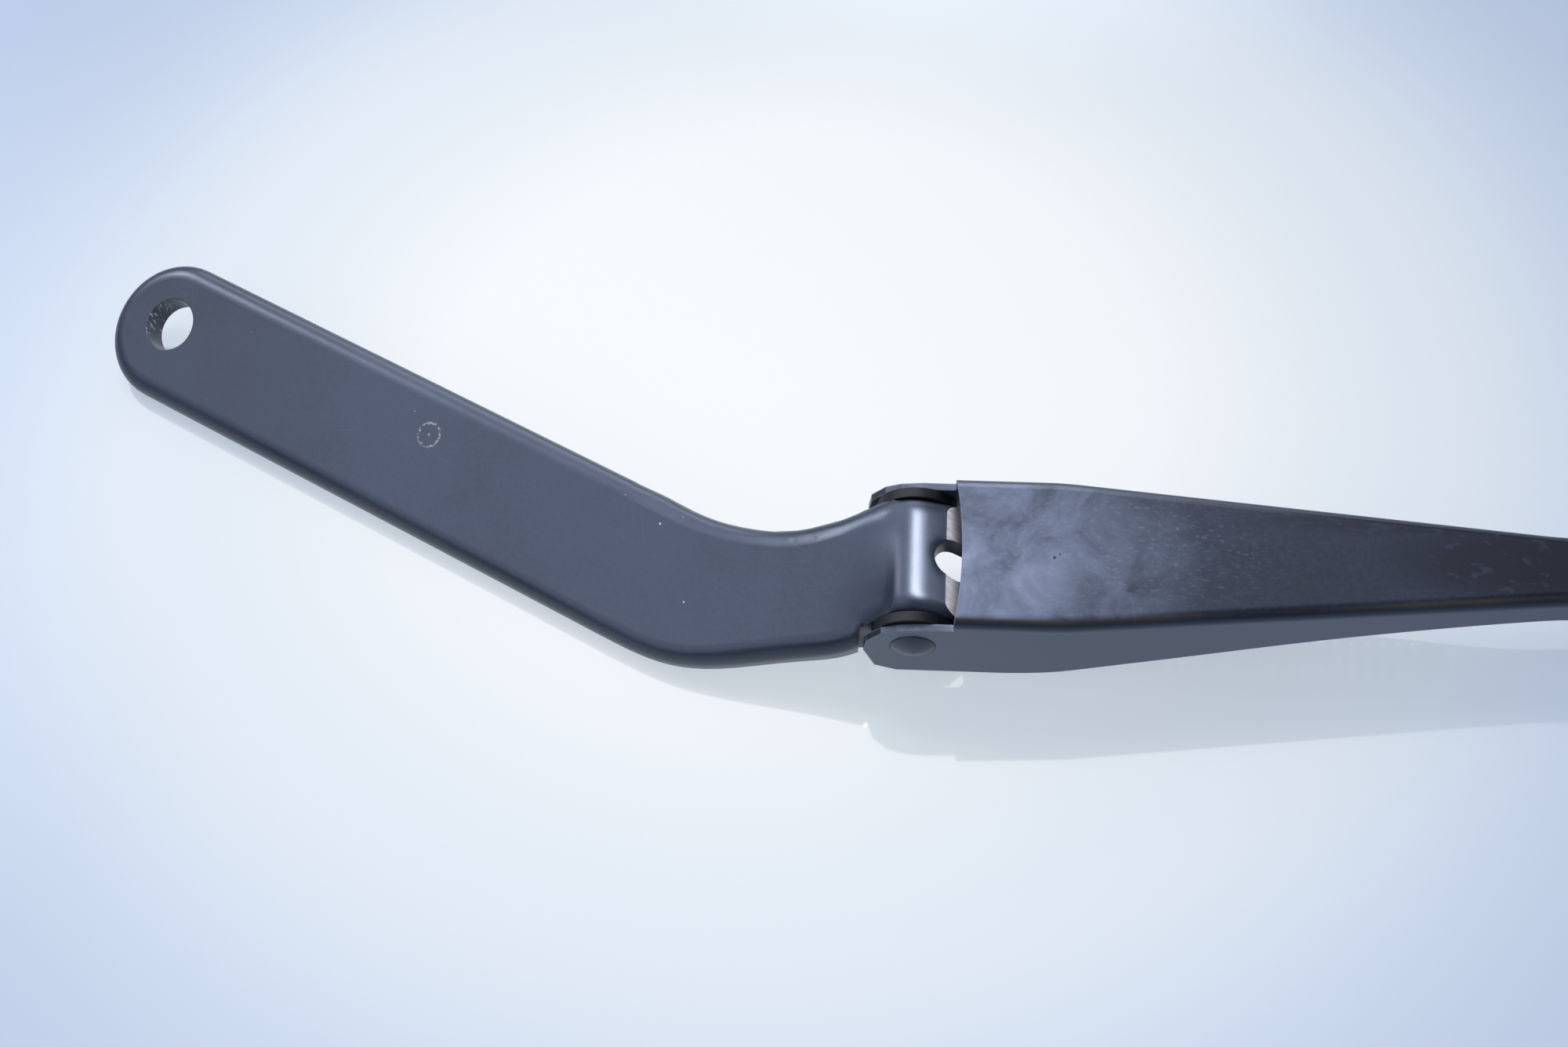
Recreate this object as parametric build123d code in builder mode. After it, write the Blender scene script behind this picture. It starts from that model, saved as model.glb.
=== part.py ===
"""Wiper arm: mounting head, folding hinge, sprung channel arm and blade rod with a hook end.

Millimetres. The origin is the centre of the spindle bore on the head's top face.
+X runs along the arm towards the blade, +Y along the hinge pin to the far side,
+Z away from the windscreen. Side profiles are drawn from the hinge pin's centre.
"""
from build123d import *
import os
from math import asin, atan2, cos, degrees, pi, radians, sin, tan

os.makedirs("parts", exist_ok=True)

# Lie of the head against the arm, with the arm hanging free at its lower stop
head_pitch = 16.52
head_roll = 14.35
leg_heading = -29.85

# Mounting head: a thick plate with a round end and a straight leg
plate_thickness = 5.0
plate_top_round = 3.3
lower_round = 0.6
leg_far = 12.3
leg_near = 13.9
bend_lead = 12.3
leg_lead_in = [0.0, 3.0, 9.0]
bore_radius = 5.0
bore_to_pin_along = 152.2
bore_to_pin_across = 19.5
pin_below_plate = 5.17

# Neck of the head, cranked from the leg to the nose
neck_near = 14.2
neck_far = 7.1
neck_near_bend = 35.0
neck_far_bend = 37.5

# Stations round the neck's bend: share of the turn at the near and far edges, extra height
bend_stations = [
    (0.35, 0.25, 0.4),
    (0.95, 0.62, 0.9),
]

nose_half_width = 10.3

# Stations along the neck: x from the pin, width and rise over the plate's slope at the near
# and then the far edge, height at the near and the far edge, rounding of the top edges
neck_stations = [
    (-19.5, neck_near, 0.0, neck_far, 0.0, 6.4, 5.6, 3.5),
    (-12.5, neck_near - 0.1, 0.2, nose_half_width - 2.3, 0.0, 7.0, 7.0, 3.4),
    (-7.4, nose_half_width + 2.7, 1.57, nose_half_width - 0.8, 0.41, 8.2, 9.5, 3.4),
]

# Nose of the head, the tongue that sits between the arm's ears
nose_top = 7.4
nose_reach = 10.0
nose_wall = 3.0
nose_side_round = 2.4
nose_trim = 0.3
nose_start = 2.6
nose_start_drop = 0.36
nose_start_height = 13.2
crown_rear = 3.1
crown_front = 2.2
crown_drop = 0.5
front_crease = 5.0
front_crease_drop = 1.5
front_face_top = 1.0
front_face_foot = 0.8
nose_underside = [(4.4, -3.6), (2.2, -5.8), (-4.0, -8.2), (-9.6, -8.2), (-9.6, -2.0)]
hollow_roof_rear = 3.6
hollow_rear_top = 1.6
hollow_front_run = 12.0
hollow_front_drop = 11.9
hollow_depth = 20.0
slot_width = 7.0
slot_end = 3.1

# Pocket in the near shoulder that leaves the ear free, from the pin
pocket_outline = [
    (-8.95, -30.0),
    (-8.95, -2.0),
    (-8.55, 1.6),
    (-6.05, 5.05),
    (-2.6, 6.9),
    (30.0, 30.0),
    (30.0, -30.0),
]
far_trim_start = 10.5

# Channel arm, folded from sheet
sheet = 1.25
channel_top = 8.7
channel_bottom = 9.5
channel_edge_round = 2.0
taper_start = 24.0
taper_end = 104.0
taper_bend = 60.0
channel_end = 150.0
plate_rear = 7.55
plate_rear_bow = 1.25
plate_rear_floor = 6.2
ear_back = 8.05
ear_front = 6.4
ear_low_start = 14.0
crimp_start = 112.0

# Ear outline from its rear to its top, and its foot, from the pin
ear_outline = [
    (-ear_back, -2.0),
    (-7.55, 1.4),
    (-5.2, 4.2),
    (-2.6, 5.4),
    (0.8, 5.9),
]
ear_foot = [(-6.2, -7.8), (-2.6, -channel_bottom)]

# Lower edge of the walls between the ear and the crimped tail, from the pin
wall_edge_stations = [(26.0, -8.1), (43.0, -5.2), (68.0, -0.9), (86.0, 1.1)]

# Hinge rivet and washers
rivet_radius = 3.0
rivet_head_radius = 3.8
rivet_head_height = 1.2
washer_radius = 6.8
washer_thickness = 1.75
washer_side_gap = 0.1
running_clearance = 0.05
riveted_clearance = 0.02

# Spring link and its anchor pin
anchor_back = 6.0
anchor_below = 4.5
anchor_radius = 2.0
anchor_bevel = 0.3
link_thickness = 3.0
link_width = 2.8
link_swing = 54.0
link_inner_radius = 3.5
link_eye_radius = 2.8
link_eye_hole = 1.5
link_reach_up = 12.0
link_eye_lean = 0.45
link_gap = 0.6

# Tension spring
spring_radius = 4.0
spring_wire = 1.8
spring_wire_flats = 6
spring_pitch = 2.6
spring_turns = 24.25
spring_runs_per_turn = 12
hook_bend_radius = 2.2
hook_tip = 5.0

# Blade rod
rod_width = 9.0
rod_thickness = 4.0
rod_top_gap = 0.05
rod_side_gap = 0.35
rod_edge_round = 0.8
tongue_start = 90.5
tongue_end = 98.5
tongue_drop = 3.9
ramp_end = 107.0
rod_hole_x = 94.5
rod_hole_radius = 1.7
rod_set_start = 165.0
rod_set_rise = 10.6
hook_x = 354.0
hook_inner_radius = 4.5
hook_return = 14.0
rod_bend_radius = 60.0
ramp_bend_radius = 8.0

# Rivet that ties the rod into the channel's folded tail
rod_rivet_x = 130.0
rod_rivet_radius = 2.0
rod_rivet_head_height = 0.8
rod_rivet_head_bevel = 0.4
rod_rivet_side_gap = 0.3
tail_gap_half_width = 2.9

# Widths that follow from what lies inside the channel
ear_half_width = nose_half_width + washer_thickness + 2 * washer_side_gap + sheet
tail_half_width = rod_width / 2 + rod_side_gap + sheet
nose_full_half = nose_half_width + nose_trim

# Planes: the head's top face, and the plan and side planes through the hinge pin
rise_along = tan(radians(head_pitch))
rise_across = tan(radians(head_roll))
heading = radians(leg_heading)
head_normal = Vector(-rise_along, -rise_across, 1).normalized()
leg_rise = rise_along * cos(heading) + rise_across * sin(heading)
leg_dir = Vector(cos(heading), sin(heading), leg_rise).normalized()
head_plane = Plane(origin=(0, 0, 0), x_dir=leg_dir, z_dir=head_normal)
pin = head_plane.from_local_coords(Vector(bore_to_pin_along, bore_to_pin_across, -pin_below_plate))
plan = Plane(origin=pin, x_dir=(1, 0, 0), z_dir=(0, 0, 1))
side = Plane(origin=pin, x_dir=(1, 0, 0), z_dir=(0, -1, 0))


def head_height(x, y):
    """Height above the pin of the head's top face, at x, y from the pin."""
    return (pin.X + x) * rise_along + (pin.Y + y) * rise_across - pin.Z


def head_point(x, y):
    """Place on the head's top face, in that face's own axes, at x, y from the pin."""
    place = head_plane.to_local_coords(pin + Vector(x, y, head_height(x, y)))
    return Vector(place.X, place.Y)


def neck_corner(y, v):
    """Where the neck's edge at y from the pin meets the leg's edge at v across the leg."""
    start = head_point(0, y)
    step = head_point(1, y) - start
    return start + step * ((v - start.Y) / step.Y)


# The link's eye in the folded pose and at rest, and the rod's spring hole
anchor = Vector(-anchor_back, -anchor_below)
anchor_bearing = 180 + degrees(atan2(anchor_below, anchor_back))
link_middle = link_inner_radius + link_width / 2
eye_folded = Vector(link_middle + link_eye_lean, link_reach_up)
eye_rest = anchor + (eye_folded - anchor).rotate(Axis.Z, -link_swing)
rod_top = channel_top - sheet - rod_top_gap
rod_middle = rod_top - rod_thickness / 2
rod_hole = Vector(rod_hole_x, rod_middle - tongue_drop)

# Mounting head
hollow_back = -anchor_back - anchor_radius - link_width / 2 - link_gap
leg_middle = (leg_far - leg_near) / 2
leg_half = (leg_far + leg_near) / 2
far_corner = neck_corner(neck_far, leg_far)
near_corner = neck_corner(-neck_near, -leg_near)
neck_step = head_point(1, 0) - head_point(0, 0)
crank = degrees(atan2(neck_step.Y, neck_step.X))
near_bend_start = near_corner.X - neck_near_bend * tan(radians(crank / 2))
far_bend_start = far_corner.X - neck_far_bend * tan(radians(crank / 2))
leg_straight = min(near_bend_start, far_bend_start) - bend_lead


def bend_point(corner, radius, turned):
    """Place on the head's top face along an edge's bend, after so many degrees of turn."""
    start = corner.X - radius * tan(radians(crank / 2))
    u = start + radius * sin(radians(turned))
    v = corner.Y + radius * (1 - cos(radians(turned)))
    return head_plane.from_local_coords(Vector(u, v, 0))


def plate_section(near, far, up, near_height, far_height, edge_round):
    """Outline across the plate between two top edge points, with rounded top corners."""
    width = (far - near).length
    with BuildSketch(Plane(origin=near, x_dir=far - near, z_dir=(far - near).cross(up))) as section:
        with BuildLine():
            FilletPolyline(
                (0, 0),
                (width, 0),
                (width, -far_height),
                (0, -near_height),
                radius=[edge_round, edge_round, lower_round, lower_round],
                close=True,
            )
        make_face()
    return section.sketch


def leg_section(along):
    """Outline across the straight leg, so far from the bore."""
    near = head_plane.from_local_coords(Vector(along, -leg_near, 0))
    far = head_plane.from_local_coords(Vector(along, leg_far, 0))
    return plate_section(near, far, head_normal, plate_thickness, plate_thickness, plate_top_round)


def bend_section(near_share, far_share, extra_height):
    """Outline across the bend between the leg and the neck."""
    near = bend_point(near_corner, neck_near_bend, crank * near_share)
    far = bend_point(far_corner, neck_far_bend, crank * far_share)
    height = plate_thickness + extra_height
    return plate_section(near, far, head_normal, height, plate_thickness, plate_top_round)


def neck_section(x, near, near_rise, far, far_rise, near_height, far_height, edge_round):
    """Outline across the neck at x from the pin."""
    near_edge = pin + Vector(x, -near, head_height(x, -near) + near_rise)
    far_edge = pin + Vector(x, far, head_height(x, far) + far_rise)
    return plate_section(near_edge, far_edge, Vector(0, 0, 1), near_height, far_height, edge_round)


def nose_section():
    """Outline where the neck runs into the nose."""
    top = nose_top - nose_start_drop
    near_edge = pin + Vector(-nose_start, -nose_full_half, top)
    far_edge = pin + Vector(-nose_start, nose_full_half, top)
    return plate_section(near_edge, far_edge, Vector(0, 0, 1), nose_start_height, nose_start_height,
                         nose_side_round + nose_trim)


with BuildPart() as mounting_head:
    # Straight leg with its round end
    end_plane = Plane(origin=head_plane.from_local_coords(Vector(0, leg_middle, 0)),
                      x_dir=head_plane.y_dir, z_dir=leg_dir)
    with BuildSketch(end_plane) as end_half:
        with BuildLine():
            Polyline((0, 0), (leg_half - plate_top_round, 0))
            RadiusArc((leg_half - plate_top_round, 0), (leg_half, -plate_top_round), plate_top_round)
            Line((leg_half, -plate_top_round), (leg_half, lower_round - plate_thickness))
            RadiusArc((leg_half, lower_round - plate_thickness), (leg_half - lower_round, -plate_thickness),
                      lower_round)
            Polyline((leg_half - lower_round, -plate_thickness), (0, -plate_thickness), (0, 0))
        make_face()
    revolve(axis=Axis(end_plane.origin, head_normal), revolution_arc=180)
    loft(sections=[leg_section(0), leg_section(leg_straight)])

    # Cranked neck, turning from the tilted leg up to the level nose
    neck_sections = [leg_section(leg_straight + step) for step in leg_lead_in]
    neck_sections += [bend_section(*station) for station in bend_stations]
    neck_sections += [neck_section(*station) for station in neck_stations]
    loft(sections=neck_sections + [nose_section()])

    # Nose, a block with a rolled crown, a sheared front and a lug round the anchor pin
    crown_start = (-crown_rear, nose_top - crown_drop)
    crown_finish = (crown_front, nose_top - crown_drop)
    with BuildSketch(side.offset(-nose_full_half)):
        with BuildLine():
            ThreePointArc(crown_start, (0, nose_top), crown_finish)
            Polyline(
                crown_finish,
                (front_crease, nose_top - front_crease_drop),
                (nose_reach, front_face_top),
                (nose_reach, -front_face_foot),
                *nose_underside,
                crown_start,
            )
        make_face()
    nose = extrude(amount=2 * nose_full_half, mode=Mode.PRIVATE)
    rolled_edges = [
        edge
        for edge in nose.edges().filter_by(Axis.Y, reverse=True)
        if edge.center().Z > pin.Z + nose_top - front_crease_drop and edge.center().X > pin.X - nose_start
    ]
    add(nose.fillet(nose_side_round + nose_trim, rolled_edges))

    # Hollow of the nose, open below and in front
    hollow_roof = nose_top - nose_wall
    hollow_front = front_crease - nose_wall
    with BuildSketch(side.offset(nose_wall - nose_half_width)):
        with BuildLine():
            Polyline(
                (hollow_back, -hollow_depth),
                (hollow_back, -hollow_rear_top),
                (-hollow_roof_rear, hollow_roof),
                (hollow_front, hollow_roof),
                (hollow_front + hollow_front_run, hollow_roof - hollow_front_drop),
                (hollow_front + hollow_front_run, -hollow_depth),
                close=True,
            )
        make_face()
    extrude(amount=2 * (nose_half_width - nose_wall), mode=Mode.SUBTRACT)

    # Slot for the folded link, open to the front
    with BuildSketch(plan):
        with Locations((slot_end + slot_width / 2, 0)):
            Circle(slot_width / 2)
            Rectangle(2 * nose_reach, slot_width, align=(Align.MIN, Align.CENTER))
    extrude(amount=2 * nose_top, both=True, mode=Mode.SUBTRACT)

    # Both sides trimmed flat, the near one along the ear's pocket
    with BuildSketch(side.offset(nose_half_width)):
        with BuildLine():
            Polyline(*pocket_outline, close=True)
        make_face()
    extrude(amount=2 * ear_half_width, mode=Mode.SUBTRACT)
    with BuildSketch(side.offset(-nose_half_width)):
        with Locations((-far_trim_start, 0)):
            Rectangle(4 * nose_reach, 4 * nose_reach, align=(Align.MIN, Align.CENTER))
    extrude(amount=-2 * ear_half_width, mode=Mode.SUBTRACT)

    # Bores: the spindle's, the hinge rivet's and the anchor pin's
    with BuildSketch(head_plane.offset(plate_thickness)):
        Circle(bore_radius)
    extrude(amount=-3 * plate_thickness, mode=Mode.SUBTRACT)
    with BuildSketch(side.offset(-2 * ear_half_width)):
        Circle(rivet_radius + running_clearance)
        with Locations(anchor):
            Circle(anchor_radius + riveted_clearance)
    extrude(amount=4 * ear_half_width, mode=Mode.SUBTRACT)

# Channel arm, one folded sheet
tail_flange_top = rod_top - rod_thickness - rod_top_gap
with BuildPart() as arm_channel:
    # Outside of the fold, wide at the hinge and tapered to the tail
    with BuildSketch(plan.offset(channel_top)) as outside:
        with BuildLine():
            Polyline(
                (-2 * ear_back, -ear_half_width),
                (taper_start, -ear_half_width),
                (taper_end, -tail_half_width),
                (channel_end, -tail_half_width),
                (channel_end, tail_half_width),
                (taper_end, tail_half_width),
                (taper_start, ear_half_width),
                (-2 * ear_back, ear_half_width),
                close=True,
            )
        make_face()
        bends = outside.vertices().group_by(Axis.X)[1] + outside.vertices().group_by(Axis.X)[2]
        fillet(bends, radius=taper_bend)
    extrude(amount=-channel_top - channel_bottom)
    outer_top = arm_channel.faces().sort_by(Axis.Z)[-1]
    end_edges = outer_top.edges().filter_by(Axis.Y)
    fillet(outer_top.edges() - end_edges, radius=channel_edge_round)

    # Inside of the fold
    with BuildSketch(plan.offset(channel_top - sheet)) as inside:
        add(outside.sketch_local)
        offset(amount=-sheet, kind=Kind.INTERSECTION, mode=Mode.REPLACE)
        with Locations((channel_end - 2 * sheet, 0)):
            Rectangle(4 * sheet, 2 * (tail_half_width - sheet))
    hollow = extrude(amount=-2 * channel_top - 2 * channel_bottom, mode=Mode.PRIVATE)
    hollow_top = hollow.faces().sort_by(Axis.Z)[-1].edges()
    rims = hollow_top - hollow_top.filter_by(Axis.Y)
    add(hollow.fillet(channel_edge_round - sheet, rims), mode=Mode.SUBTRACT)

    # Side profile of the walls and ears
    with BuildSketch(side.offset(-2 * ear_half_width)):
        with BuildLine():
            Polyline(
                (ear_front, channel_top + 1),
                (ear_front, ear_outline[-1][1]),
                *reversed(ear_outline),
                *ear_foot,
                (ear_low_start, -channel_bottom),
            )
            wall_edge = Spline(
                (ear_low_start, -channel_bottom),
                *wall_edge_stations,
                (crimp_start, tail_flange_top - sheet),
                tangents=[(1, 0), (1, 0)],
            )
            Polyline(
                wall_edge @ 1,
                (channel_end + 1, tail_flange_top - sheet),
                (channel_end + 1, channel_top + 1),
                (ear_front, channel_top + 1),
            )
        make_face()
    extrude(amount=4 * ear_half_width, mode=Mode.INTERSECT)

    # Rear edge of the top plate, a shallow bow
    with BuildSketch(plan.offset(plate_rear_floor)):
        with BuildLine():
            bow = ThreePointArc((plate_rear - plate_rear_bow, -ear_half_width), (plate_rear, 0),
                                (plate_rear - plate_rear_bow, ear_half_width))
            Polyline(bow @ 1, (-2 * ear_back, ear_half_width), (-2 * ear_back, -ear_half_width), bow @ 0)
        make_face()
    extrude(amount=channel_top, mode=Mode.SUBTRACT)

    # Flanges folded under the rod along the tail
    for across in (-1, 1):
        flange_width = tail_half_width - sheet / 2 - tail_gap_half_width
        with BuildSketch(plan.offset(tail_flange_top)):
            with Locations((crimp_start, across * tail_gap_half_width)):
                Rectangle(channel_end - crimp_start, flange_width,
                          align=(Align.MIN, Align.MIN if across > 0 else Align.MAX))
        extrude(amount=-sheet)

    # Holes for the hinge rivet and the rod's rivet
    with BuildSketch(side.offset(-2 * ear_half_width)):
        Circle(rivet_radius + riveted_clearance)
    extrude(amount=4 * ear_half_width, mode=Mode.SUBTRACT)
    with BuildSketch(plan.offset(channel_top + 1)):
        with Locations((rod_rivet_x, 0)):
            Circle(rod_rivet_radius + riveted_clearance)
    extrude(amount=-2 * sheet, mode=Mode.SUBTRACT)

# Hinge rivet, with a low domed head outside each ear
shank_half = ear_half_width
dome_radius = (rivet_head_radius**2 + rivet_head_height**2) / (2 * rivet_head_height)
dome_half_angle = asin(rivet_head_radius / dome_radius) / 2
dome_out = shank_half + rivet_head_height - dome_radius * (1 - cos(dome_half_angle))
dome_up = dome_radius * sin(dome_half_angle)
rivet_plane = Plane(origin=pin, x_dir=(0, 1, 0), z_dir=(1, 0, 0))
with BuildPart() as hinge_rivet:
    with BuildSketch(rivet_plane):
        with BuildLine():
            near_dome = ThreePointArc((-shank_half, rivet_head_radius),
                                      (-dome_out, dome_up),
                                      (-shank_half - rivet_head_height, 0))
            far_dome = ThreePointArc((shank_half + rivet_head_height, 0),
                                     (dome_out, dome_up),
                                     (shank_half, rivet_head_radius))
            Line(near_dome @ 1, far_dome @ 0)
            Polyline(far_dome @ 1, (shank_half, rivet_radius), (-shank_half, rivet_radius), near_dome @ 0)
        make_face()
    revolve(axis=Axis(pin, (0, 1, 0)))

# Washers between the nose and each ear
washer_centre = nose_half_width + washer_side_gap
with BuildPart() as hinge_washer_near:
    with BuildSketch(side.offset(washer_centre)):
        Circle(washer_radius)
        Circle(rivet_radius + running_clearance, mode=Mode.SUBTRACT)
    extrude(amount=washer_thickness)
with BuildPart() as hinge_washer_far:
    with BuildSketch(side.offset(-washer_centre)):
        Circle(washer_radius)
        Circle(rivet_radius + running_clearance, mode=Mode.SUBTRACT)
    extrude(amount=-washer_thickness)

# Anchor pin across the nose, where the link turns
with BuildPart() as anchor_pin:
    with BuildSketch(side.offset(-nose_half_width)):
        with Locations(anchor):
            Circle(anchor_radius)
    extrude(amount=2 * nose_half_width)
    chamfer(anchor_pin.edges().filter_by(GeomType.CIRCLE), length=anchor_bevel)

# Spring link: a flat hook that passes under the rivet, drawn folded and then turned to rest
with BuildPart() as spring_link:
    with BuildSketch(side.offset(-link_thickness / 2)) as link_profile:
        with BuildLine():
            hook = CenterArc((0, 0), link_middle, anchor_bearing, 360 - anchor_bearing)
            Line(anchor, hook @ 0)
            Polyline(hook @ 1, (link_middle, link_reach_up / 2), eye_folded)
        trace(line_width=link_width)
        with Locations(anchor):
            Circle(anchor_radius + link_width / 2)
        with Locations(eye_folded):
            Circle(link_eye_radius)
        with Locations(anchor):
            Circle(anchor_radius + running_clearance, mode=Mode.SUBTRACT)
        with Locations(eye_folded):
            Circle(link_eye_hole, mode=Mode.SUBTRACT)
    extrude(amount=link_thickness)
turn = Axis(pin + Vector(anchor.X, 0, anchor.Y), (0, 1, 0))
spring_link.part = spring_link.part.rotate(turn, link_swing)

# Tension spring, hooked to the link's eye and to the rod's tongue
spring_start = pin + Vector(eye_rest.X, 0, eye_rest.Y)
spring_finish = pin + Vector(rod_hole.X, 0, rod_hole.Y)
spring_line = (spring_finish - spring_start).normalized()
coil_length = spring_pitch * spring_turns
coil_gap = ((spring_finish - spring_start).length - coil_length) / 2
coil_plane = Plane(origin=spring_start + spring_line * coil_gap, x_dir=(0, 1, 0), z_dir=spring_line)
spring_up = spring_line.cross(Vector(0, 1, 0)) * -1
with BuildPart() as tension_spring:
    # The coil is drawn in short straight runs of six-sided wire, which keeps its facets few
    coil_points = []
    for run in range(round(spring_turns * spring_runs_per_turn) + 1):
        turned = 2 * pi * run / spring_runs_per_turn
        advance = spring_pitch * run / spring_runs_per_turn
        place = Vector(spring_radius * cos(turned), spring_radius * sin(turned), advance)
        coil_points.append(coil_plane.from_local_coords(place))
    with BuildLine() as coil:
        Polyline(*coil_points)
    with BuildSketch(Plane(origin=coil.line @ 0, z_dir=coil.line % 0)):
        RegularPolygon(radius=spring_wire / 2, side_count=spring_wire_flats)
    sweep(transition=Transition.RIGHT)

    # Hooks: the front one lies across the link's eye, the rear one passes down through the tongue
    hooks = [
        (coil.line @ 0, spring_start, Vector(0, -1, 0)),
        (coil.line @ 1, spring_finish, spring_up),
    ]
    for foot, hold, across in hooks:
        reach = (hold - foot).dot(spring_line)
        out = spring_line * (1 if reach > 0 else -1)
        reach = abs(reach)
        with BuildLine() as hook_line:
            FilletPolyline(
                foot,
                foot + out * reach,
                foot + out * reach + across * 2 * spring_radius,
                foot + out * (reach - hook_tip) + across * 2 * spring_radius,
                radius=hook_bend_radius,
            )
        with BuildSketch(Plane(origin=foot, z_dir=out)):
            RegularPolygon(radius=spring_wire / 2, side_count=spring_wire_flats)
        sweep(path=hook_line.line)

# Blade rod, a flat bar with a dropped tongue, a slight set and a hook for the blade
hook_middle = hook_inner_radius + rod_thickness / 2
hook_top = rod_middle + rod_set_rise
with BuildPart() as arm_rod:
    with BuildLine(side) as rod_line:
        bar = FilletPolyline(
            (tongue_start, rod_hole.Y),
            (tongue_end, rod_hole.Y),
            (ramp_end, rod_middle),
            (rod_set_start, rod_middle),
            (hook_x, hook_top),
            radius=[ramp_bend_radius, ramp_bend_radius, rod_bend_radius],
        )
        bend = JernArc(start=bar @ 1, tangent=bar % 1, radius=hook_middle, arc_size=-180)
        Line(bend @ 1, (bend @ 1) + (bend % 1) * hook_return)
    with BuildSketch(Plane(origin=rod_line.line @ 0, x_dir=(0, 1, 0), z_dir=(1, 0, 0))):
        RectangleRounded(rod_width, rod_thickness, rod_edge_round)
    sweep()
    with BuildSketch(plan.offset(rod_hole.Y + rod_thickness)):
        with Locations((rod_hole.X, 0)):
            Circle(rod_hole_radius)
    extrude(amount=-2 * rod_thickness, mode=Mode.SUBTRACT)
    with BuildSketch(plan.offset(channel_top)):
        with Locations((rod_rivet_x, 0)):
            Circle(rod_rivet_radius + riveted_clearance)
    extrude(amount=-2 * channel_top, mode=Mode.SUBTRACT)

# Rod rivet, headed above the top plate and below the rod
rod_under = rod_top - rod_thickness
with BuildPart() as rod_rivet:
    with BuildSketch(plan.offset(rod_under)):
        with Locations((rod_rivet_x, 0)):
            Circle(rod_rivet_radius)
    extrude(amount=channel_top - rod_under)
    with BuildSketch(plan.offset(channel_top), plan.offset(rod_under - rod_rivet_head_height)):
        with Locations((rod_rivet_x, 0)):
            Circle(tail_gap_half_width - rod_rivet_side_gap)
    extrude(amount=rod_rivet_head_height)
    crown = rod_rivet.edges().filter_by(GeomType.CIRCLE).sort_by(Axis.Z)[-1]
    chamfer(crown, length=rod_rivet_head_bevel)

pieces = {
    "mounting_head": mounting_head,
    "arm_channel": arm_channel,
    "hinge_rivet": hinge_rivet,
    "hinge_washer_near": hinge_washer_near,
    "hinge_washer_far": hinge_washer_far,
    "anchor_pin": anchor_pin,
    "spring_link": spring_link,
    "tension_spring": tension_spring,
    "arm_rod": arm_rod,
    "rod_rivet": rod_rivet,
}
for name, piece in pieces.items():
    piece.part.label = name
    export_step(piece.part, f"parts/{name}.step")
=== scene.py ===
"""Looks of a car windscreen wiper arm, lying on a glossy white table.

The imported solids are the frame. This file dresses each of them, winds the spring in round wire
and lights the table. Lengths in the dataclasses are millimetres, as on a drawing.
"""
import logging
import math
from dataclasses import dataclass
from enum import Enum, IntEnum
from typing import Any

import bpy
from mathutils import Matrix, Vector


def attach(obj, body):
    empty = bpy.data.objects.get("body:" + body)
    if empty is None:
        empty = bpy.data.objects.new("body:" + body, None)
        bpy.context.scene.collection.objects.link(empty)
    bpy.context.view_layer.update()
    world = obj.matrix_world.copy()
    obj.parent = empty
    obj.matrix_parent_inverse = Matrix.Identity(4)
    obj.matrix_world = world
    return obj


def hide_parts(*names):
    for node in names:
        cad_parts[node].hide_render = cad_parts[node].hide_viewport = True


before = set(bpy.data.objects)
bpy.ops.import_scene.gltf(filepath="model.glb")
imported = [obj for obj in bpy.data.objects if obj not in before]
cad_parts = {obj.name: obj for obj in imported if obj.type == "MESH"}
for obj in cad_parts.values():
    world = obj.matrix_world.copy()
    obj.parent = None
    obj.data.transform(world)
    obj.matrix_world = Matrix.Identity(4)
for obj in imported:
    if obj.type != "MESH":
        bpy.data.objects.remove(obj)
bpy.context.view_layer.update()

MM = 0.001
log = logging.getLogger("wiper_arm")

Tree = bpy.types.NodeTree
Socket = bpy.types.NodeSocket
Span = tuple[float, float]
Triple = tuple[float, float, float]

# Most of a noise texture's values lie in this span
NOISE_SPAN: Span = (0.3, 0.7)


class Lit(Enum):
    """What a softbox lights."""

    HEAD = "head"
    REST_OF_ARM = "rest_of_arm"
    TABLE = "table"


class Direction(Enum):
    """Which way a set of hairline scratches runs, in degrees from the arm's length."""

    ALONG = 3.0
    SLANTED = 37.0
    ACROSS = 81.0


class MixInput(IntEnum):
    """Inputs of the Mix node, which share their names and are told apart by their place."""

    NUMBER_A = 2
    NUMBER_B = 3
    VECTOR_A = 4
    VECTOR_B = 5
    COLOUR_A = 6
    COLOUR_B = 7


class MixOutput(IntEnum):
    """Outputs of the Mix node, told apart in the same way."""

    NUMBER = 0
    VECTOR = 1
    COLOUR = 2


def metres(lengths: tuple[float, ...]) -> tuple[float, ...]:
    """Turn millimetres into metres."""
    return tuple(length * MM for length in lengths)


def scales(sizes: Triple) -> Triple:
    """Turn the sizes of a pattern into what its coordinates are multiplied by."""
    return (1 / sizes[0], 1 / sizes[1], 1 / sizes[2])


def linear(colour: str) -> tuple[float, float, float, float]:
    """Turn an sRGB hex colour into linear values.

    Args:
        colour: A colour such as "#20242B".

    Returns:
        Red, green, blue and an alpha of 1.
    """
    parts = [int(colour[i : i + 2], 16) / 255 for i in (1, 3, 5)]
    values = [c / 12.92 if c <= 0.04045 else ((c + 0.055) / 1.055) ** 2.4 for c in parts]
    return (values[0], values[1], values[2], 1.0)


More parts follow.
